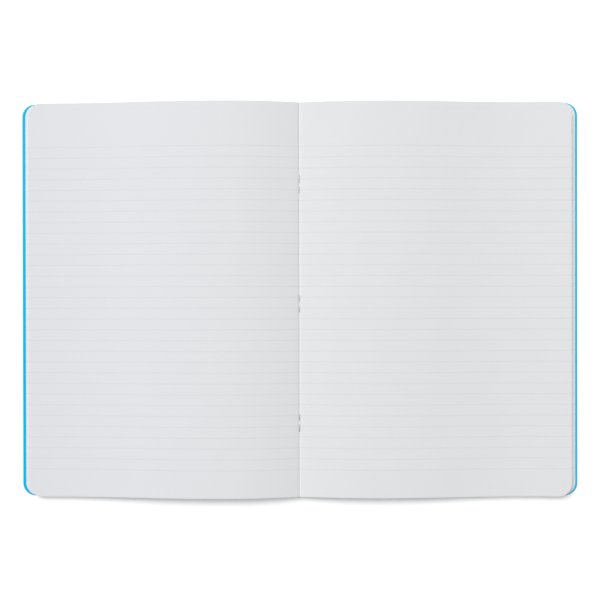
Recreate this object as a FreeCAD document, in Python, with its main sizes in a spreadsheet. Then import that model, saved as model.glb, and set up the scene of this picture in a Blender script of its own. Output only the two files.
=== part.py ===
import FreeCAD, Part
import math
import os

import Sketcher

os.makedirs("parts", exist_ok=True)

doc = FreeCAD.newDocument("composition_notebook")

# An open stapled composition notebook, lying on a table with its pages up.
# X runs across both pages, Y up the page, Z off the table.
# The fold is the line x = 0, and the table is z = 0.
# Each half is built outwards along +X, and the front half, the left one, is then turned round.

sizes = {
    # Cover and leaves, each half measured from the fold
    "half_width": 182,
    "book_height": 257,
    "corner_round": 9,
    "card_thickness": 0.3,
    "leaf_thickness": 0.1,
    "leaves_each_half": 24,
    "fold_slit": 0.2,
    # The left half arches up beside the fold, then comes down to lie flat at the fore-edge
    "front_crown_out": 47,
    "front_crown_rise": 4.25,
    "front_flat_width": 30,
    "front_lowest_leaf_inset": 2.0,
    "front_top_leaf_inset": 5.1,
    # The right half arches less and lies flat for longer
    "back_crown_out": 50,
    "back_crown_rise": 3.05,
    "back_flat_width": 55,
    "back_lowest_leaf_inset": 1.3,
    "back_top_leaf_inset": 3.9,
    # Staples of slightly flattened wire through the fold, with the middle one measured from mid height
    "wire_size": 0.5,
    "wire_width": 0.6,
    "staple_length": 12,
    "staple_pitch": 78,
    "staple_offset": -2.4,
    "leg_tip_gap": 2.4,
    "bend_inside": 0.1,
    "wire_seat": 0.03,
    "leg_hole_clearance": 0.1,
}

sheet = doc.addObject("Spreadsheet::Sheet", "Sizes")
for row, (name, value) in enumerate(sizes.items(), start=1):
    sheet.set(f"A{row}", name)
    sheet.set(f"B{row}", str(value))
    sheet.setAlias(f"B{row}", name)
doc.recompute()

# What follows from those sizes is worked out once, in this set of named values
worked = doc.addObject("App::VarSet", "Worked")


def work_out(name, formula):
    worked.addProperty("App::PropertyFloat", name)
    worked.setExpression(name, formula)


# Levels above the underside of the card, measured square to the sheets
work_out("underside_level", "0")
work_out("card_level", "Sizes.card_thickness")
work_out("page_level", "Sizes.card_thickness + Sizes.leaves_each_half * Sizes.leaf_thickness")
# The fold stands on the staples' crowns, which lie just clear of the table and of the card
work_out("fold_height", "Sizes.wire_size + 2 * Sizes.wire_seat")
work_out("slit_face", "Sizes.fold_slit / 2")
for half in ("front", "back"):
    out = f"Sizes.{half}_crown_out"
    rise = f"Sizes.{half}_crown_rise"
    crown = f"Worked.{half}_crown_height"
    run = f"Worked.{half}_run"
    work_out(f"{half}_crown_out", out)
    work_out(f"{half}_crown_height", f"Worked.fold_height + {rise}")
    # Radius of the underside from the fold up to the crown
    work_out(f"{half}_rise_round", f"({out} ^ 2 + {rise} ^ 2) / (2 * {rise})")
    # Two equal arcs, bent opposite ways, bring the underside from the crown down to the table
    work_out(f"{half}_run", f"Sizes.half_width - Sizes.{half}_flat_width - {out}")
    work_out(f"{half}_fall_round", f"({run} ^ 2 + {crown} ^ 2) / (4 * {crown})")
    centre = f"{crown} - Worked.{half}_rise_round"
    top_round = f"Worked.{half}_rise_round + Worked.page_level"
    work_out(f"{half}_gutter_height", f"{centre} + sqrt(({top_round}) ^ 2 - {out} ^ 2)")
    work_out(f"{half}_card_reach", "Sizes.half_width")
    work_out(f"{half}_lowest_leaf_reach", f"Sizes.half_width - Sizes.{half}_lowest_leaf_inset")
    work_out(f"{half}_top_leaf_reach", f"Sizes.half_width - Sizes.{half}_top_leaf_inset")
# Centre lines of a staple's wire
work_out("leg_out", "(Sizes.staple_length - Sizes.wire_size) / 2")
work_out("tip_out", "Sizes.leg_tip_gap / 2")
work_out("wire_bend", "Sizes.bend_inside + Sizes.wire_size / 2")
work_out("crown_level", "Sizes.wire_seat + Sizes.wire_size / 2")
gutter = "max(Worked.front_gutter_height; Worked.back_gutter_height)"
work_out("clinch_level", f"{gutter} + 2 * Sizes.wire_seat + Sizes.wire_size / 2")
doc.recompute()

# Point numbers of an edge in a sketch, and the edge number of the sketch's horizontal axis and origin
START, END, CENTRE = 1, 2, 3
ORIGIN = -1


def origin_item(body, role):
    """The body's own origin plane or axis of that role."""
    return next(item for item in body.Origin.OriginFeatures if item.Role == role)


def new_sketch(body, name, role):
    sketch = body.newObject("Sketcher::SketchObject", name)
    sketch.AttachmentSupport = (origin_item(body, role), "")
    sketch.MapMode = "FlatFace"
    return sketch


def constrain(sketch, kind, *where):
    sketch.addConstraint(Sketcher.Constraint(kind, *where))


def dimension(sketch, kind, *where, value, formula):
    """A dimension of the sketch, bound to the named values."""
    index = sketch.addConstraint(Sketcher.Constraint(kind, *where, value))
    sketch.setExpression(f"Constraints[{index}]", formula)


def add_arc(sketch, centre, radius, start, end):
    circle = Part.Circle(FreeCAD.Vector(*centre, 0), FreeCAD.Vector(0, 0, 1), radius)
    return sketch.addGeometry(Part.ArcOfCircle(circle, start, end))


def add_line(sketch, start, end):
    return sketch.addGeometry(Part.LineSegment(FreeCAD.Vector(*start, 0), FreeCAD.Vector(*end, 0)))


def surface(sketch, half, level_name, reach_name):
    """One face of a sheet, from the fold over the crown to the fore-edge. Returns its first and last edges."""
    level = getattr(worked, level_name)
    reach = getattr(worked, f"{half}_{reach_name}")
    out = getattr(worked, f"{half}_crown_out")
    crown = getattr(worked, f"{half}_crown_height")
    run = getattr(worked, f"{half}_run")
    rise_round = getattr(worked, f"{half}_rise_round")
    fall_round = getattr(worked, f"{half}_fall_round")
    fold_turn = math.acos((out - worked.slit_face) / (rise_round + level))
    slope = math.asin(run / (2 * fall_round))
    up = math.pi / 2
    down = 3 * math.pi / 2

    rise = add_arc(sketch, (out, crown - rise_round), rise_round + level, up, math.pi - fold_turn)
    fall = add_arc(sketch, (out, crown - fall_round), fall_round + level, up - slope, up)
    landing = add_arc(sketch, (out + run, fall_round), fall_round - level, down - slope, down)
    flat = add_line(sketch, (out + run, level), (reach, level))
    constrain(sketch, "Tangent", rise, START, fall, END)
    constrain(sketch, "Tangent", fall, START, landing, START)
    constrain(sketch, "Tangent", landing, END, flat, START)
    constrain(sketch, "Horizontal", flat)

    rounds = ((rise, "rise_round", "+"), (fall, "fall_round", "+"), (landing, "fall_round", "-"))
    for edge, name, sign in rounds:
        radius = getattr(worked, f"{half}_{name}") + (level if sign == "+" else -level)
        formula = f"Worked.{half}_{name} {sign} Worked.{level_name}"
        dimension(sketch, "Radius", edge, value=radius, formula=formula)
    for edge in (rise, fall):
        formula = f"Worked.{half}_crown_out"
        dimension(sketch, "DistanceX", ORIGIN, START, edge, CENTRE, value=out, formula=formula)
    formula = f"Worked.{half}_rise_round - Worked.{half}_crown_height"
    dimension(sketch, "DistanceY", rise, CENTRE, ORIGIN, START, value=rise_round - crown, formula=formula)
    formula = f"Worked.{half}_{reach_name}"
    dimension(sketch, "DistanceX", ORIGIN, START, flat, END, value=reach, formula=formula)
    return rise, flat


def place_flat(sketch, flat, level_name):
    """The flat stretch lies on the table, or at its level above it."""
    level = getattr(worked, level_name)
    if level_name == "underside_level":
        constrain(sketch, "PointOnObject", flat, END, ORIGIN)
    else:
        formula = f"Worked.{level_name}"
        dimension(sketch, "DistanceY", ORIGIN, START, flat, END, value=level, formula=formula)


def edge_end(sketch, edge, point):
    spot = sketch.getPoint(edge, point)
    return spot.x, spot.y


def add_layer(name, half, lower, upper):
    """A half of the cover or of the leaves. lower and upper each give a level and how far it reaches."""
    body = doc.addObject("PartDesign::Body", name)
    section = new_sketch(body, f"{name}_section", "XZ_Plane")
    low_rise, low_flat = surface(section, half, *lower)
    place_flat(section, low_flat, lower[0])
    top_rise, top_flat = surface(section, half, *upper)
    place_flat(section, top_flat, upper[0])
    slit = add_line(section, edge_end(section, low_rise, END), edge_end(section, top_rise, END))
    fore_edge = add_line(section, edge_end(section, low_flat, END), edge_end(section, top_flat, END))
    for edge, low, top, point in ((slit, low_rise, top_rise, END), (fore_edge, low_flat, top_flat, END)):
        constrain(section, "Coincident", edge, START, low, point)
        constrain(section, "Coincident", edge, END, top, point)
    constrain(section, "Vertical", slit)
    value = worked.slit_face
    dimension(section, "DistanceX", ORIGIN, START, slit, START, value=value, formula="Worked.slit_face")

    sheets = body.newObject("PartDesign::Pad", f"{name}_sheets")
    sheets.Profile = section
    sheets.SideType = "Symmetric"
    sheets.setExpression("Length", "Sizes.book_height")
    doc.recompute()

    round_corners(body, name, half, lower, upper)
    add_leg_holes(body, name, half)
    return body


def corner_sketch(body, name, half, level_name, reach_name):
    """What a rounded corner takes off one sheet at the head of the book, in plan."""
    sketch = new_sketch(body, name, "XY_Plane")
    sketch.setExpression("AttachmentOffset.Base.z", f"Worked.{level_name}")
    reach = getattr(worked, f"{half}_{reach_name}")
    head = sheet.book_height / 2
    radius = sheet.corner_round
    bend = add_arc(sketch, (reach - radius, head - radius), radius, 0, math.pi / 2)
    outside = (
        (reach - radius, head),
        (reach - radius, head + radius),
        (reach + radius, head + radius),
        (reach + radius, head - radius),
        (reach, head - radius),
    )
    lines = [add_line(sketch, start, end) for start, end in zip(outside, outside[1:])]
    constrain(sketch, "Coincident", bend, END, lines[0], START)
    constrain(sketch, "Coincident", bend, START, lines[-1], END)
    for before, after in zip(lines, lines[1:]):
        constrain(sketch, "Coincident", before, END, after, START)
    for upright in (lines[0], lines[2]):
        constrain(sketch, "Vertical", upright)
    for level in (lines[1], lines[3]):
        constrain(sketch, "Horizontal", level)
    constrain(sketch, "Vertical", bend, END, bend, CENTRE)
    constrain(sketch, "Horizontal", bend, START, bend, CENTRE)
    formula = "Sizes.corner_round"
    dimension(sketch, "Radius", bend, value=radius, formula=formula)
    dimension(sketch, "DistanceY", lines[0], START, lines[0], END, value=radius, formula=formula)
    dimension(sketch, "DistanceX", lines[3], END, lines[3], START, value=radius, formula=formula)
    formula = f"Worked.{half}_{reach_name}"
    dimension(sketch, "DistanceX", ORIGIN, START, bend, START, value=reach, formula=formula)
    formula = "Sizes.book_height / 2"
    dimension(sketch, "DistanceY", ORIGIN, START, bend, END, value=head, formula=formula)
    return sketch


def round_corners(body, name, half, lower, upper):
    """The corners are cut square to every sheet, so they follow the fore-edge from leaf to leaf."""
    low = corner_sketch(body, f"{name}_low_corner", half, *lower)
    top = corner_sketch(body, f"{name}_top_corner", half, *upper)
    head_corner = body.newObject("PartDesign::SubtractiveLoft", f"{name}_head_corner")
    head_corner.Profile = low
    head_corner.Sections = [top]
    head_corner.Ruled = True
    doc.recompute()
    corners = body.newObject("PartDesign::Mirrored", f"{name}_corners")
    corners.Originals = [head_corner]
    corners.MirrorPlane = (origin_item(body, "XZ_Plane"), [""])
    body.Tip = corners
    doc.recompute()


def add_leg_holes(body, name, half):
    """Half-round notches in the slit face, where the staples' legs pass through the fold."""
    sketch = new_sketch(body, f"{name}_leg_holes", "XY_Plane")
    turned = -1 if half == "front" else 1
    radius = sheet.wire_width / 2 + sheet.leg_hole_clearance
    first = turned * sheet.staple_offset - sheet.staple_pitch
    for side in (-1, 1):
        centre = FreeCAD.Vector(0, first + side * worked.leg_out, 0)
        hole = sketch.addGeometry(Part.Circle(centre, FreeCAD.Vector(0, 0, 1), radius))
        constrain(sketch, "PointOnObject", hole, CENTRE, -2)
        formula = f"{-turned} * Sizes.staple_offset + Sizes.staple_pitch - {side} * Worked.leg_out"
        dimension(sketch, "DistanceY", hole, CENTRE, ORIGIN, START, value=-centre.y, formula=formula)
        formula = "Sizes.wire_width / 2 + Sizes.leg_hole_clearance"
        dimension(sketch, "Radius", hole, value=radius, formula=formula)
    holes = body.newObject("PartDesign::Pocket", f"{name}_first_pair")
    holes.Profile = sketch
    holes.SideType = "Symmetric"
    holes.Type = "ThroughAll"
    doc.recompute()
    pairs = body.newObject("PartDesign::LinearPattern", f"{name}_all_pairs")
    pairs.Originals = [holes]
    pairs.Direction = (origin_item(body, "Y_Axis"), [""])
    pairs.Mode = "Extent"
    pairs.Occurrences = 3
    pairs.setExpression("Length", "2 * Sizes.staple_pitch")
    body.Tip = pairs
    doc.recompute()


# The cover is one folded card, and the leaves one folded stack, each in two halves that turn at the fold
card = (("underside_level", "card_reach"), ("card_level", "card_reach"))
leaves = (("card_level", "lowest_leaf_reach"), ("page_level", "top_leaf_reach"))
half_turn = FreeCAD.Rotation(FreeCAD.Vector(0, 0, 1), 180)
parts = []
for half in ("front", "back"):
    for layer, (lower, upper) in (("cover", card), ("pages", leaves)):
        body = add_layer(f"{half}_{layer}", half, lower, upper)
        if half == "front":
            body.Placement = FreeCAD.Placement(FreeCAD.Vector(), half_turn)
        parts.append(body)


def add_staple(name, step):
    """A wire staple: the crown under the cover, two legs up through the fold, and tips clinched on the pages."""
    body = doc.addObject("PartDesign::Body", name)
    path = new_sketch(body, f"{name}_path", "YZ_Plane")
    leg = worked.leg_out
    tip = worked.tip_out
    top = worked.clinch_level
    low = worked.crown_level
    bend = worked.wire_bend
    quarter = math.pi / 2
    tip_right = add_line(path, (tip, top), (leg - bend, top))
    turn_right = add_arc(path, (leg - bend, top - bend), bend, 0, quarter)
    leg_right = add_line(path, (leg, top - bend), (leg, low + bend))
    bend_right = add_arc(path, (leg - bend, low + bend), bend, 3 * quarter, 4 * quarter)
    crown = add_line(path, (leg - bend, low), (bend - leg, low))
    bend_left = add_arc(path, (bend - leg, low + bend), bend, 2 * quarter, 3 * quarter)
    leg_left = add_line(path, (-leg, low + bend), (-leg, top - bend))
    turn_left = add_arc(path, (bend - leg, top - bend), bend, quarter, 2 * quarter)
    tip_left = add_line(path, (bend - leg, top), (-tip, top))
    joins = (
        (tip_right, END, turn_right, END),
        (turn_right, START, leg_right, START),
        (leg_right, END, bend_right, END),
        (bend_right, START, crown, START),
        (crown, END, bend_left, END),
        (bend_left, START, leg_left, START),
        (leg_left, END, turn_left, END),
        (turn_left, START, tip_left, START),
    )
    for join in joins:
        constrain(path, "Tangent", *join)
    constrain(path, "Vertical", leg_right)
    constrain(path, "Horizontal", crown)
    for turn in (turn_right, bend_right, bend_left, turn_left):
        dimension(path, "Radius", turn, value=bend, formula="Worked.wire_bend")
    constrain(path, "Horizontal", tip_right)
    constrain(path, "Horizontal", tip_left)
    for edge, point, value, formula in (
        (leg_right, START, leg, "Worked.leg_out"),
        (tip_right, START, tip, "Worked.tip_out"),
    ):
        dimension(path, "DistanceX", ORIGIN, START, edge, point, value=value, formula=formula)
    for edge, point, value, formula in (
        (leg_left, START, leg, "Worked.leg_out"),
        (tip_left, END, tip, "Worked.tip_out"),
    ):
        dimension(path, "DistanceX", edge, point, ORIGIN, START, value=value, formula=formula)
    for edge, point, value, formula in (
        (crown, START, low, "Worked.crown_level"),
        (tip_right, START, top, "Worked.clinch_level"),
        (tip_left, END, top, "Worked.clinch_level"),
    ):
        dimension(path, "DistanceY", ORIGIN, START, edge, point, value=value, formula=formula)

    wire = new_sketch(body, f"{name}_wire", "XZ_Plane")
    wire.setExpression("AttachmentOffset.Base.z", "-Worked.tip_out")
    centre = FreeCAD.Vector(0, top, 0)
    oval = wire.addGeometry(Part.Ellipse(centre, sheet.wire_width / 2, sheet.wire_size / 2))
    wire.exposeInternalGeometry(oval)
    width, thickness = oval + 1, oval + 2
    constrain(wire, "Horizontal", width)
    constrain(wire, "PointOnObject", oval, CENTRE, -2)
    formula = "Worked.clinch_level"
    dimension(wire, "DistanceY", ORIGIN, START, oval, CENTRE, value=top, formula=formula)
    dimension(wire, "Distance", width, value=sheet.wire_width, formula="Sizes.wire_width")
    dimension(wire, "Distance", thickness, value=sheet.wire_size, formula="Sizes.wire_size")
    doc.recompute()

    bent_wire = body.newObject("PartDesign::AdditivePipe", f"{name}_bent_wire")
    bent_wire.Profile = wire
    bent_wire.Spine = (path, [f"Edge{number}" for number in range(1, len(joins) + 2)])
    body.setExpression("Placement.Base.y", f"Sizes.staple_offset + {step} * Sizes.staple_pitch")
    doc.recompute()
    return body


for name, step in (("staple_top", 1), ("staple_middle", 0), ("staple_bottom", -1)):
    parts.append(add_staple(name, step))
doc.recompute()

for item in doc.Objects:
    if "Invalid" in item.State or "Error" in item.State:
        raise RuntimeError(f"{item.Name} did not build: {item.State}")
for body in parts:
    shape = body.Shape
    if shape.isNull() or not shape.isValid() or len(shape.Solids) != 1:
        raise RuntimeError(f"{body.Label} is not one sound solid")
for body in parts:
    body.Shape.exportStep(f"parts/{body.Label}.step")
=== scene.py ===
import math
import random

import bmesh
import bpy
from mathutils import Matrix, Vector


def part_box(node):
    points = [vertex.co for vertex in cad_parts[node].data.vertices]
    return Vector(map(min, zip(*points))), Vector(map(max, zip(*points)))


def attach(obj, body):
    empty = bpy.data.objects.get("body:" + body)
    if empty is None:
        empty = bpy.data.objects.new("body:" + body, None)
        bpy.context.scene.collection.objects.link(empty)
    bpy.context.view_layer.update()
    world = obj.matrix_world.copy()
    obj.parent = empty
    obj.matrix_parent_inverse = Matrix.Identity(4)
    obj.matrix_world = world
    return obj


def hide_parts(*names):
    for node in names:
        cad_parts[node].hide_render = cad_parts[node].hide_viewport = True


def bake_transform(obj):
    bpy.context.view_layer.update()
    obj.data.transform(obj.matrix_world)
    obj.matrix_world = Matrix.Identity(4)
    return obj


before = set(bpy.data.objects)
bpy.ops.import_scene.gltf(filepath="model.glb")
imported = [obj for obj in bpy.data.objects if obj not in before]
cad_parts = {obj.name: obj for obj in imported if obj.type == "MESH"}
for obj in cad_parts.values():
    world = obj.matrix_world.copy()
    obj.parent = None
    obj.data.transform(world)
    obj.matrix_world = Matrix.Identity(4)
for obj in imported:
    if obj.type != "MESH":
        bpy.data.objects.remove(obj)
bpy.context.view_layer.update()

# The cover
# One sheet of cyan dyed card, creased down the middle and stapled round the leaves. It lies with its
# inside up, so only a thin strip shows along each fore-edge. Every sheet follows its section.
MM = 0.001
CARD = 0.3 * MM
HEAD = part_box("back_cover")[1][1]
HALF_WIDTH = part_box("back_cover")[1][0]
CORNER = 8.2 * MM
CORNER_SEGMENTS = 14
# Past the last bend a sheet is straight, so that its rounded corners lie in one face
STRAIGHT_EDGE = CORNER * 1.1
CARD_STEP = 3 * MM
FOLD_HEIGHT = 0.56 * MM
SPRING_REACH = 35 * MM
# Where every sheet bends close to the fold, in millimetres from it
NEAR_CREASE = [0.2, 0.4, 0.6, 0.9, 1.2, 1.6, 2.0, 2.5, 3.2, 4.2, 5.5, 7.5]
SMOOTH_UNDER = math.radians(35)


class Arch:
    """How one half of the open book rises from the fold to its crown and comes down to lie flat."""

    def __init__(self, crown_out, crown_rise, flat_width):
        self.out = crown_out
        self.crown = FOLD_HEIGHT + crown_rise
        self.run = HALF_WIDTH - flat_width - crown_out
        self.rise_round = (crown_out**2 + crown_rise**2) / (2 * crown_rise)
        self.fall_round = (self.run**2 + self.crown**2) / (4 * self.crown)
        self.slope = math.asin(self.run / (2 * self.fall_round))

    def height(self, out, level):
        """Height above the table, this far out from the fold, of a sheet at that level in the stack."""
        if out <= self.out:
            reach = self.rise_round + level
            return self.crown - self.rise_round + math.sqrt(reach**2 - (self.out - out) ** 2)
        if out <= self.out + (self.fall_round + level) * math.sin(self.slope):
            reach = self.fall_round + level
            return self.crown - self.fall_round + math.sqrt(reach**2 - (out - self.out) ** 2)
        if out <= self.out + self.run:
            reach = self.fall_round - level
            return self.fall_round - math.sqrt(reach**2 - (self.out + self.run - out) ** 2)
        return level


FRONT_ARCH = Arch(47 * MM, 4.25 * MM, 12 * MM)
BACK_ARCH = Arch(50 * MM, 3.05 * MM, 35 * MM)


def height_at(x, level):
    """Height of a sheet of the open book. Both halves meet at the fold."""
    if x == 0:
        return (FRONT_ARCH.height(0, level) + BACK_ARCH.height(0, level)) / 2
    arch = FRONT_ARCH if x < 0 else BACK_ARCH
    return arch.height(abs(x), level)


def columns(reach, step):
    """Where a sheet bends on one half: close together at the crease, then every step, as far as its
    straight edge."""
    stops = [out * MM for out in NEAR_CREASE]
    last = reach - STRAIGHT_EDGE
    count = round((last - stops[-1]) / step)
    stops += [stops[-1] + (last - stops[-1]) * i / count for i in range(1, count + 1)]
    return stops + [reach]


def folded_sheet(level, thickness, reaches, lifts, step, corner, trim=0.0):
    """A mesh of one folded sheet: its section run up the page, its four outer corners rounded, then its
    thickness. Reaches are how far it goes left and right, lifts how much it springs up at each fore-edge,
    and trim how much it is short of the cover at head and foot."""
    mesh = bmesh.new()
    foot = []
    for side, reach, lift in ((-1, reaches[0], lifts[0]), (0, 0, 0), (1, reaches[1], lifts[1])):
        outs = columns(reach, step) if side else [0.0]
        for out in reversed(outs) if side < 0 else outs:
            spring = lift * max(0, 1 - (reach - out) / SPRING_REACH) ** 2
            foot.append(mesh.verts.new((side * out, trim - HEAD, height_at(side * out, level) + spring)))
    section = [mesh.edges.new(pair) for pair in zip(foot, foot[1:])]
    run = bmesh.ops.extrude_edge_only(mesh, edges=section)["geom"]
    top = [part for part in run if isinstance(part, bmesh.types.BMVert)]
    bmesh.ops.translate(mesh, verts=top, vec=(0, 2 * (HEAD - trim), 0))
    top.sort(key=lambda vert: vert.co.x)
    corners = [foot[0], foot[-1], top[0], top[-1]]
    bmesh.ops.bevel(
        mesh, geom=corners, offset=corner, offset_type="OFFSET", affect="VERTICES",
        segments=CORNER_SEGMENTS, profile=0.5, material=-1,
    )
    for face in mesh.faces:
        if face.normal.z < 0:
            face.normal_flip()
    bmesh.ops.solidify(mesh, geom=mesh.faces[:], thickness=-thickness)
    return mesh


def add_piece(name, mesh, finish):
    """Turns a finished mesh into a piece, smooth over its faces and sharp at its cut edges."""
    bmesh.ops.recalc_face_normals(mesh, faces=mesh.faces)
    laid = mesh.verts.layers.float_vector.new("laid_open")
    for vert in mesh.verts:
        vert[laid] = vert.co
    for edge in mesh.edges:
        edge.smooth = len(edge.link_faces) < 2 or edge.calc_face_angle(0) < SMOOTH_UNDER
    for face in mesh.faces:
        face.smooth = True
    data = bpy.data.meshes.new(name)
    mesh.to_mesh(data)
    mesh.free()
    data.materials.append(finish)
    piece = bpy.data.objects.new(name, data)
    bpy.context.scene.collection.objects.link(piece)
    return piece


def fold_with_book(piece):
    """The piece is whole across the fold; this bakes its place into its mesh."""
    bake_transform(piece)


class Shade:
    """A value that flows through a material's nodes. Arithmetic on it adds the nodes that work it out."""

    def __init__(self, tree, socket=None):
        self.tree = tree
        self.socket = socket

    def node(self, kind, settings=None, sockets=None, output=0):
        """A new node of that kind, its settings made first, seen from the output of that number."""
        made = self.tree.nodes.new(kind)
        for name, value in (settings or {}).items():
            setattr(made, name, value)
        for name, value in (sockets or {}).items():
            if isinstance(value, Shade):
                self.tree.links.new(value.socket, made.inputs[name])
            else:
                made.inputs[name].default_value = value
        return Shade(self.tree, made.outputs[output] if made.outputs else None)

    def maths(self, operation, first, second=0.0):
        return self.node("ShaderNodeMath", {"operation": operation}, {0: first, 1: second})

    def __add__(self, other):
        return self.maths("ADD", self, other)

    def __sub__(self, other):
        return self.maths("SUBTRACT", self, other)

    def __mul__(self, other):
        return self.maths("MULTIPLY", self, other)

    def __rsub__(self, other):
        return self.maths("SUBTRACT", other, self)

    __radd__ = __add__
    __rmul__ = __mul__

    def mixed(self, first, second):
        """One colour where this value is 0, the other where it is 1."""
        return self.node("ShaderNodeMix", {"data_type": "RGBA"}, {0: self, 6: first, 7: second}, output=2)


def linear(red, green, blue):
    """A colour read off a screen, 0 to 255, as the light that it stands for."""
    return tuple(((part / 255 + 0.055) / 1.055) ** 2.4 for part in (red, green, blue)) + (1.0,)


def new_finish(name, constants, colour, roughness, bumps):
    """A finish: fixed values on the shader's own sockets, and colour, roughness and relief from its pattern.
    The pattern lies where each point of the open book does, and stays on it when the book closes."""
    finish = bpy.data.materials.new(name)
    finish.use_nodes = True
    tree = finish.node_tree
    tree.nodes.clear()
    pattern = Shade(tree)
    place = pattern.node("ShaderNodeAttribute", {"attribute_name": "laid_open"}, output=1)
    normal = None
    for strength, distance, height in bumps(place):
        sockets = {"Strength": strength, "Distance": distance, "Height": height}
        if normal:
            sockets["Normal"] = normal
        normal = pattern.node("ShaderNodeBump", sockets=sockets)
    sockets = {"Base Color": colour(place), "Roughness": roughness(place), "Normal": normal}
    sockets.update(constants)
    surface = pattern.node("ShaderNodeBsdfPrincipled", sockets=sockets)
    pattern.node("ShaderNodeOutputMaterial", sockets={"Surface": surface})
    return finish


def speckle(place, size, detail=2.0, stretch=(1, 1, 1)):
    """Noise with lumps about that many metres across, from 0 to 1."""
    spread = tuple(1 / (size * side) for side in stretch)
    scaled = place.node("ShaderNodeMapping", sockets={"Vector": place, "Scale": spread})
    return place.node("ShaderNodeTexNoise", sockets={"Vector": scaled, "Scale": 1.0, "Detail": detail})


CARD_CYAN = linear(0, 186, 223)
CARD_DEEP = linear(0, 177, 215)
CARD_FIBRE = linear(20, 194, 228)


def card_colour(place):
    cloud = speckle(place, 9 * MM)
    fibre = speckle(place, 0.5 * MM, stretch=(1, 4, 1))
    flecks = fibre.node("ShaderNodeMapRange", sockets={0: fibre, 1: 0.58, 2: 0.75, 3: 0.0, 4: 0.35})
    return flecks.mixed(cloud.mixed(CARD_CYAN, CARD_DEEP), CARD_FIBRE)


def card_roughness(place):
    return 0.46 + 0.16 * speckle(place, 3 * MM)


def card_bumps(place):
    return [
        (0.35, 0.05 * MM, speckle(place, 0.6 * MM, 4.0, stretch=(1, 2, 1))),
        (0.25, 0.15 * MM, speckle(place, 14 * MM)),
    ]


CARD_FINISH = new_finish(
    "cyan_card", {"Specular IOR Level": 0.12}, card_colour, card_roughness, card_bumps
)

card = folded_sheet(0.0, CARD, (HALF_WIDTH, HALF_WIDTH), (0, 0), CARD_STEP, CORNER)
cover = add_piece("folded_cover", card, CARD_FINISH)
fold_with_book(cover)
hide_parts("front_cover", "back_cover")

# The lower leaves
# Twenty-three sheets of white ruled paper, folded together inside the cover. Each wraps round more sheets
# than the one above it, so once trimmed its fore-edges step out a little further on both sides.
LEAF = 0.1 * MM
LEAVES = 24
# The lower sheets are a little thinner than their spacing, so that each edge shows
LOWER_LEAF = 0.085 * MM
LOWER_STEP = 5 * MM
LOWEST_INSETS = (2.0 * MM, 1.3 * MM)
TOP_INSETS = (5.1 * MM, 4.8 * MM)
TOP_LIFTS = (0.1 * MM, 0.55 * MM)
LIFT_GROWTH = 8
LINE_PITCH = 7 * MM
LINE_SPACES = 30
LINE_WIDTH = 0.8 * MM
FIRST_LINE = HEAD - 28.9 * MM
PAPER_WHITE = linear(228, 228.4, 230.4)
PAPER_SHADE = linear(225, 225.4, 227.4)
# The next colour and its share are painted bluish light from the left: the left page turns bluer towards its
# fore-edge.
PAPER_PAINTED_BLUE_LIGHT = linear(224.5, 226, 232)
PAINTED_BLUE_LIGHT_SHARE = 0.6
PAPER_FIBRE = linear(214, 216, 221)
LINE_INK = linear(219.8, 221.3, 224.3)
FAN = (0.8, 0.38)
LEAF_CORNER = 8.4 * MM
RAGGED = 0.05 * MM
ragged = random.Random(5)
CREASE_DEPTH = 0.35 * MM
CREASE_WIDTH = 0.5 * MM


def paper_colour(place):
    cloud = speckle(place, 22 * MM)
    fibre = speckle(place, 0.35 * MM, 3.0, stretch=(1, 3, 1))
    flecks = fibre.node("ShaderNodeMapRange", sockets={0: fibre, 1: 0.56, 2: 0.8, 3: 0.0, 4: 0.5})
    across = place.node("ShaderNodeSeparateXYZ", sockets={"Vector": place})
    # Painted bluish light: none at the fold, its full share at the left fore-edge, none on the right page.
    painted_blue_light = across.node(
        "ShaderNodeMapRange", sockets={0: across, 1: 0.0, 2: -HALF_WIDTH, 3: 0.0, 4: PAINTED_BLUE_LIGHT_SHARE}
    )
    ground = painted_blue_light.mixed(cloud.mixed(PAPER_WHITE, PAPER_SHADE), PAPER_PAINTED_BLUE_LIGHT)
    paper = flecks.mixed(ground, PAPER_FIBRE)
    up_page = place.node("ShaderNodeSeparateXYZ", sockets={"Vector": place}, output=1)
    spaces = (FIRST_LINE - up_page) * (1 / LINE_PITCH)
    off_line = spaces.maths("PINGPONG", spaces, 0.5)
    half = LINE_WIDTH / LINE_PITCH / 2
    printed = off_line.node(
        "ShaderNodeMapRange", sockets={0: off_line, 1: half * 0.5, 2: half * 1.5, 3: 1.0, 4: 0.0}
    )
    ruled = spaces.maths("GREATER_THAN", spaces, -0.5) * spaces.maths("LESS_THAN", spaces, LINE_SPACES + 0.5)
    worn = 0.55 + 0.6 * speckle(place, 0.5 * MM)
    return (printed * ruled * worn).mixed(paper, LINE_INK)


def paper_roughness(place):
    return 0.74 + 0.14 * speckle(place, 1.5 * MM)


def paper_bumps(place):
    return [
        (0.3, 0.02 * MM, speckle(place, 0.25 * MM, 3.0, stretch=(1, 2, 1))),
        (0.3, 0.3 * MM, speckle(place, 45 * MM, 1.0)),
    ]


PAPER_FINISH = new_finish(
    "ruled_paper", {"Specular IOR Level": 0.25}, paper_colour, paper_roughness, paper_bumps
)


def leaf_sheet(number, step, thickness):
    """A folded sheet of the leaves, counted from the cover up."""
    share = number / (LEAVES - 1)
    lifts = [most * share**LIFT_GROWTH for most in TOP_LIFTS]
    reaches = [
        HALF_WIDTH - lowest + (lowest - top) * share**fan
        for lowest, top, fan in zip(LOWEST_INSETS, TOP_INSETS, FAN)
    ]
    trim = ragged.uniform(0, RAGGED)
    reaches = [reach - ragged.uniform(0, RAGGED) for reach in reaches]
    mesh = folded_sheet(CARD + number * LEAF, thickness, reaches, lifts, step, LEAF_CORNER, trim)
    for vert in mesh.verts:
        vert.co.z -= CREASE_DEPTH * share * math.exp(-abs(vert.co.x) / CREASE_WIDTH)
    return mesh


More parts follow.
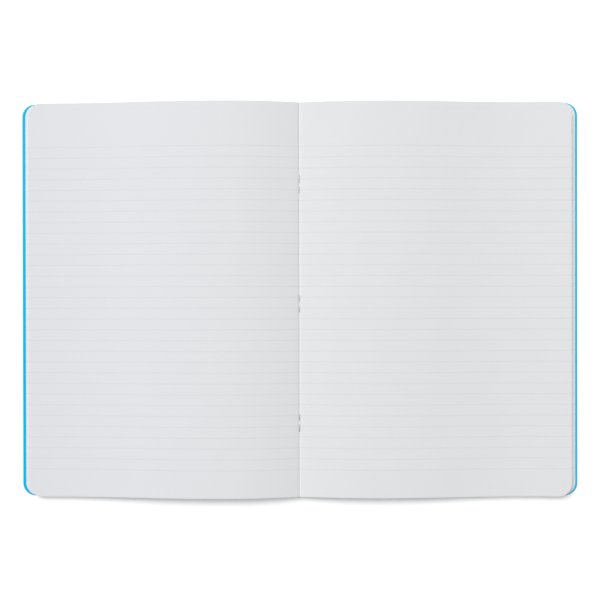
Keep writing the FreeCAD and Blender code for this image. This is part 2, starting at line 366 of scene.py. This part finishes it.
stack = bmesh.new()
for number in range(LEAVES - 1):
    one = leaf_sheet(number, LOWER_STEP, LOWER_LEAF)
    data = bpy.data.meshes.new("leaf")
    one.to_mesh(data)
    one.free()
    stack.from_mesh(data)
    bpy.data.meshes.remove(data)
leaves = add_piece("lower_leaves", stack, PAPER_FINISH)
fold_with_book(leaves)
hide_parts("front_pages", "back_pages")

# The centre spread
# The innermost sheet, whose two leaves are the pages that lie open. It is the same ruled paper, lies over
# all the others, and its right leaf springs up a little along its fore-edge.
SPREAD_STEP = 2 * MM

spread = add_piece("centre_spread", leaf_sheet(LEAVES - 1, SPREAD_STEP, LEAF), PAPER_FINISH)
fold_with_book(spread)
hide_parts("front_pages", "back_pages")

# The staples
# Three lengths of bright steel wire, driven through the fold from outside. Each lies along the spine, comes
# up through card and leaves, and its cut ends are bent over and pressed into the crease, no two alike.
STEEL = linear(180, 181, 184)
STEEL_DARK = linear(122, 123, 127)
WIRE_WIDTH = 0.6 * MM
WIRE_THICKNESS = 0.5 * MM
WIRE_BEND = 0.35 * MM
SPINE_LEVEL = 0.28 * MM
CREASE_LEVEL = 3.28 * MM
LEG_OUT = 5.75 * MM
CUT_LENGTH = 0.4 * MM
CUT_THICKNESS = 0.35
CLINCH_ROUND = 20 * MM
WIRE_SIDES = 16
BEND_STEPS = 6
STAPLE_PITCH = 78 * MM
MIDDLE_STAPLE = -2.4 * MM


def steel_colour(place):
    return speckle(place, 0.2 * MM, 2.0, stretch=(1, 12, 1)).mixed(STEEL, STEEL_DARK)


def steel_roughness(place):
    return 0.3 + 0.2 * speckle(place, 0.15 * MM, 2.0, stretch=(1, 20, 1))


def steel_bumps(place):
    return [(0.2, 0.01 * MM, speckle(place, 0.1 * MM, 1.0, stretch=(1, 30, 1)))]


STEEL_FINISH = new_finish("drawn_steel", {"Metallic": 1.0}, steel_colour, steel_roughness, steel_bumps)


class Wire:
    """Oval wire drawn out from a cut end, in straight runs and bends that all turn the same way in the
    plane of the fold."""

    def __init__(self, place, slope):
        self.mesh = bmesh.new()
        self.place = Vector(place)
        self.heading = Vector((0, math.cos(slope), math.sin(slope)))
        turned = Matrix.Rotation(slope - math.pi / 2, 4, "X")
        oval = Matrix.Diagonal((WIRE_WIDTH / 2, WIRE_THICKNESS / 2, 1, 1))
        bmesh.ops.create_circle(
            self.mesh, segments=WIRE_SIDES, radius=1, matrix=Matrix.Translation(self.place) @ turned @ oval
        )
        self.rim = self.mesh.edges[:]

    def run(self, length):
        ring = bmesh.ops.extrude_edge_only(self.mesh, edges=self.rim)["geom"]
        self.rim = [part for part in ring if isinstance(part, bmesh.types.BMEdge)]
        self.rim = [edge for edge in self.rim if edge.is_boundary]
        verts = [part for part in ring if isinstance(part, bmesh.types.BMVert)]
        bmesh.ops.translate(self.mesh, verts=verts, vec=self.heading * length)
        self.place += self.heading * length

    def turn(self, radius, angle):
        centre = self.place + radius * Vector((0, self.heading.z, -self.heading.y))
        swept = bmesh.ops.spin(
            self.mesh, geom=self.rim, cent=centre, axis=(1, 0, 0), angle=-angle, steps=BEND_STEPS
        )["geom_last"]
        self.rim = [part for part in swept if isinstance(part, bmesh.types.BMEdge)]
        swing = Matrix.Rotation(-angle, 3, "X")
        self.place = centre + swing @ (self.place - centre)
        self.heading = swing @ self.heading

    def press_cut(self):
        """Flattens the rim that the wire was last cut at."""
        verts = list({vert for edge in self.rim for vert in edge.verts})
        bmesh.ops.scale(
            self.mesh, verts=verts, vec=(1, 1, CUT_THICKNESS), space=Matrix.Translation(-self.place)
        )


def staple_wire(middle, tips):
    """A mesh of one staple, from its upper cut end round to its lower one. Tips are how far each cut end
    stays from the staple's middle."""
    slopes = [
        math.asin((LEG_OUT - tip - CUT_LENGTH - WIRE_BEND) / (2 * CLINCH_ROUND - WIRE_BEND)) for tip in tips
    ]
    wire = Wire((0, middle + tips[0], CREASE_LEVEL), slopes[0])
    wire.press_cut()
    wire.run(CUT_LENGTH)
    wire.turn(CLINCH_ROUND, 2 * slopes[0])
    wire.turn(WIRE_BEND, math.pi / 2 - slopes[0])
    wire.run(wire.place.z - SPINE_LEVEL - WIRE_BEND)
    wire.turn(WIRE_BEND, math.pi / 2)
    wire.run(wire.place.y - middle + LEG_OUT - WIRE_BEND)
    wire.turn(WIRE_BEND, math.pi / 2)
    leg_top = CREASE_LEVEL - WIRE_BEND * math.cos(slopes[1])
    wire.run(leg_top - wire.place.z)
    wire.turn(WIRE_BEND, math.pi / 2 - slopes[1])
    wire.turn(CLINCH_ROUND, 2 * slopes[1])
    wire.run(CUT_LENGTH)
    wire.press_cut()
    bmesh.ops.holes_fill(wire.mesh, edges=wire.mesh.edges[:], sides=WIRE_SIDES)
    return wire.mesh


for name, step, tips in (("top", 1, (0.5, 1.6)), ("middle", 0, (1.4, 1.8)), ("bottom", -1, (1.7, 0.9))):
    middle = MIDDLE_STAPLE + step * STAPLE_PITCH
    staple = add_piece(f"{name}_staple", staple_wire(middle, [tip * MM for tip in tips]), STEEL_FINISH)
    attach(staple, "spine")
    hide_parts(f"staple_{name}")

# The floor, the lights and the camera
# A plain white floor under the open book, soft light from the upper left, and a camera straight above.
# To the camera alone the floor glows a little: least at the book's edge, where the shadow lies, more a
# few millimetres outside it, and most far away.
FLOOR_DROP = 0.05 * MM
FLOOR_HALF = 4
FLOOR_WHITE = 0.93
FLOOR_GLOW = 0.115
FAR_GLOW = 0.7
FAR_FROM = 0.3
FAR_FULL = 0.6
HALO = 0.215
HALO_NEAR = 2 * MM
HALO_FAR = 10 * MM
SKY = 0.22
CAMERA_PLACE = Vector((2.1, 0.6, 380)) * MM
CAMERA_AIM = Vector((0.4, -0.2, 0)) * MM
CAMERA_LENS = 34.69
CAMERA_ROLL = math.radians(0.1)
# Each lamp's place and width in metres, and its share of the light on the pages
KEY_LAMP = (Vector((-5.4, 8.1, 8.6)), 9.0, 0.682)
OVERHEAD_LAMP = (Vector((0.06, 0.08, 1.0)), 0.5, 0.205)

ground = bmesh.new()
bmesh.ops.create_grid(ground, x_segments=1, y_segments=1, size=FLOOR_HALF)
bmesh.ops.translate(ground, verts=ground.verts, vec=(0, 0, -FLOOR_DROP))
data = bpy.data.meshes.new("floor")
ground.to_mesh(data)
ground.free()
floor = bpy.data.objects.new("floor", data)
bpy.context.scene.collection.objects.link(floor)
paint = bpy.data.materials.new("floor_white")
paint.use_nodes = True
paint.node_tree.nodes.clear()
pattern = Shade(paint.node_tree)
seen = pattern.node("ShaderNodeLightPath")
place = pattern.node("ShaderNodeTexCoord", output=3)
away = place.node("ShaderNodeVectorMath", {"operation": "LENGTH"}, {0: place}, output=1)
whiter = away.node(
    "ShaderNodeMapRange", sockets={0: away, 1: FAR_FROM, 2: FAR_FULL, 3: 0.0, 4: FAR_GLOW}
)
book_corner = (HALF_WIDTH, HEAD, 0)
beside = place.node("ShaderNodeVectorMath", {"operation": "ABSOLUTE"}, {0: place})
beside = beside.node("ShaderNodeVectorMath", {"operation": "SUBTRACT"}, {0: beside, 1: book_corner})
beside = beside.node("ShaderNodeVectorMath", {"operation": "MAXIMUM"}, {0: beside, 1: (0, 0, 0)})
beside = beside.node("ShaderNodeVectorMath", {"operation": "LENGTH"}, {0: beside}, output=1)
halo = beside.node("ShaderNodeMapRange", sockets={0: beside, 1: HALO_NEAR, 2: HALO_FAR, 3: 0.0, 4: HALO})
white = (FLOOR_WHITE, FLOOR_WHITE, FLOOR_WHITE, 1)
matt = pattern.node("ShaderNodeBsdfDiffuse", sockets={"Color": white})
glow = pattern.node("ShaderNodeEmission", sockets={"Strength": seen * (FLOOR_GLOW + halo + whiter)})
both = pattern.node("ShaderNodeAddShader", sockets={0: matt, 1: glow})
pattern.node("ShaderNodeOutputMaterial", sockets={"Surface": both})
data.materials.append(paint)

world = bpy.data.worlds.new("studio")
bpy.context.scene.world = world
world.use_nodes = True
world.node_tree.nodes.clear()
pattern = Shade(world.node_tree)
camera_ray = pattern.node("ShaderNodeLightPath")
glossy_ray = Shade(world.node_tree, camera_ray.socket.node.outputs["Is Glossy Ray"])
seen = camera_ray.maths("MAXIMUM", camera_ray, glossy_ray)
sky = pattern.node(
    "ShaderNodeBackground", sockets={"Color": (1, 1, 1, 1), "Strength": SKY + seen * (1 - SKY)}
)
pattern.node("ShaderNodeOutputWorld", sockets={"Surface": sky})


def add_lamp(name, place, size, share):
    """A square soft lamp aimed at the book, that gives this share of the light on a level white sheet."""
    lamp = bpy.data.lights.new(name, "AREA")
    lamp.size = size
    lamp.energy = share * math.pi**2 * place.length_squared * place.length / place.z
    stand = bpy.data.objects.new(name, lamp)
    stand.location = place
    stand.rotation_euler = place.to_track_quat("Z", "Y").to_euler()
    bpy.context.scene.collection.objects.link(stand)


add_lamp("key", *KEY_LAMP)
add_lamp("overhead", *OVERHEAD_LAMP)

camera = bpy.data.cameras.new("camera")
camera.sensor_width = 36
camera.lens = CAMERA_LENS
camera.clip_start = 0.01
eye = bpy.data.objects.new("camera", camera)
eye.location = CAMERA_PLACE
away = CAMERA_PLACE - CAMERA_AIM
eye.rotation_euler = (-math.atan2(away.y, away.z), math.atan2(away.x, away.z), -CAMERA_ROLL)
bpy.context.scene.collection.objects.link(eye)
bpy.context.scene.camera = eye
bpy.context.scene.view_settings.view_transform = "Standard"
